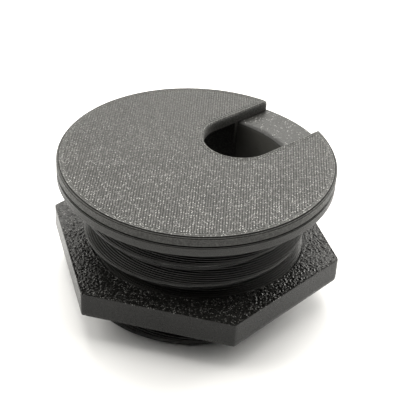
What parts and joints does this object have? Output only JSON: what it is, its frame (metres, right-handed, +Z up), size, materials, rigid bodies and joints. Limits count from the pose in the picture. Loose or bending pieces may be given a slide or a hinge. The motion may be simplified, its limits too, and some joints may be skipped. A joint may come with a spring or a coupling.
{
  "type": "desk cable grommet",
  "caption": "Round cable grommet for a desk hole: flanged sleeve with a coarse outside thread, lift-off lid with a U-shaped cable slot, and a hex clamping nut.",
  "frame": {"origin": "on the sleeve's axis, at its lower end", "axes": "+Z up along the sleeve's axis, towards the lid; +X towards the open end of the lid's cable slot"},
  "size_m": [0.0764, 0.07, 0.0384],
  "materials": {
    "sleeve_plastic": "matte charcoal, with fine print layers",
    "lid_plastic": "matte charcoal, fine straight raster lines on top with a faint glitter",
    "nut_plastic": "matte charcoal, pebbled top face, smooth sides"
  },
  "bodies": {
    "sleeve": {"sleeve": "sleeve_plastic"},
    "lid": {"lid": "lid_plastic"},
    "nut": {"nut": "nut_plastic"}
  },
  "joints": [
    {"name": "lid_lift", "type": "slide", "parent": "sleeve", "child": "lid", "axis": [0, 0, 1], "range_m": [0, 0.025]},
    {"name": "nut_travel", "type": "slide", "parent": "sleeve", "child": "nut", "axis": [0, 0, 1], "range_m": [-0.016, 0.0182]}
  ]
}
